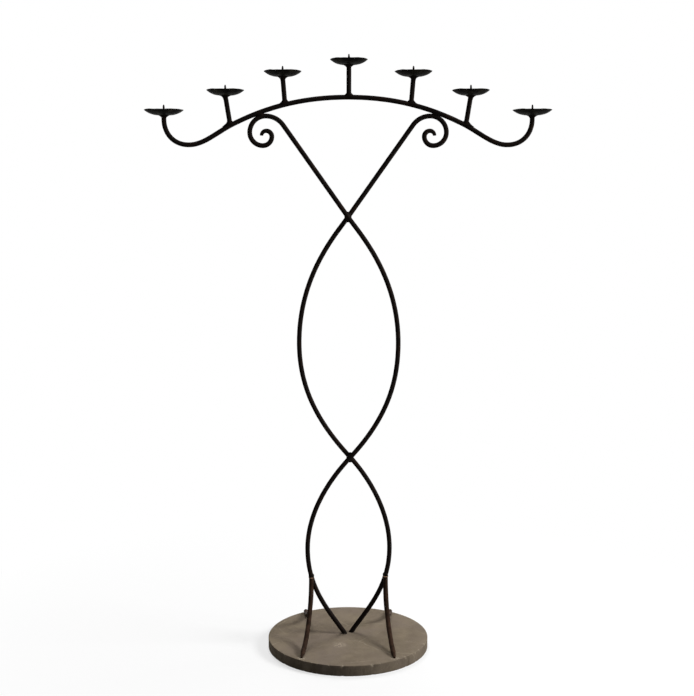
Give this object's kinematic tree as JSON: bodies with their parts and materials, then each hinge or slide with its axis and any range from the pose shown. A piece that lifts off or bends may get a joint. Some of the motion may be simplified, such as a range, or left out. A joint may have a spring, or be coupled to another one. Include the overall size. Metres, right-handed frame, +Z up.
{
  "type": "torchere candle stand",
  "caption": "Floor-standing wrought-iron torchere: crossed scroll rods on a round stone slab carry an arch with drip pans and candle spikes.",
  "frame": {"origin": "middle of the slab's underside, on the floor", "axes": "+Z up, +X to the viewer's right along the arch, -Y to the front; the plane of the frame stands 14 mm behind the middle of the slab"},
  "size_m": [0.988, 0.405, 1.4763],
  "materials": {
    "bar": "satin",
    "weld": "matte",
    "pan": "satin",
    "pin": "satin",
    "stone": "matte"
  },
  "bodies": {
    "root": {"scroll_rod_left": "bar", "scroll_rod_right": "bar", "arch_bar": "bar", "stem_2": "bar", "stem_weld_2": "weld", "stem_3": "bar", "stem_weld_3": "weld", "stem_4": "bar", "stem_weld_4": "weld", "stem_5": "bar", "stem_weld_5": "weld", "stem_6": "bar", "stem_weld_6": "weld", "pan_cup_1": "weld", "drip_pan_1": "pan", "pricket_1": "bar", "pan_cup_2": "weld", "drip_pan_2": "pan", "pricket_2": "bar", "pan_cup_3": "weld", "drip_pan_3": "pan", "pricket_3": "bar", "pan_cup_4": "weld", "drip_pan_4": "pan", "pricket_4": "bar", "pan_cup_5": "weld", "drip_pan_5": "pan", "pricket_5": "bar", "pan_cup_6": "weld", "drip_pan_6": "pan", "pricket_6": "bar", "pan_cup_7": "weld", "drip_pan_7": "pan", "pricket_7": "bar", "leg_front_left": "bar", "leg_weld_front_left": "weld", "leg_pin_front_left": "pin", "leg_back_left": "bar", "leg_weld_back_left": "weld", "leg_pin_back_left": "pin", "leg_front_right": "bar", "leg_weld_front_right": "weld", "leg_pin_front_right": "pin", "leg_back_right": "bar", "leg_weld_back_right": "weld", "leg_pin_back_right": "pin", "rod_pin_left": "pin", "rod_pin_right": "pin", "base_slab": "stone", "crossing_weld_upper": "weld", "crossing_weld_lower": "weld", "scroll_weld_left": "weld", "scroll_weld_right": "weld"}
  },
  "joints": []
}
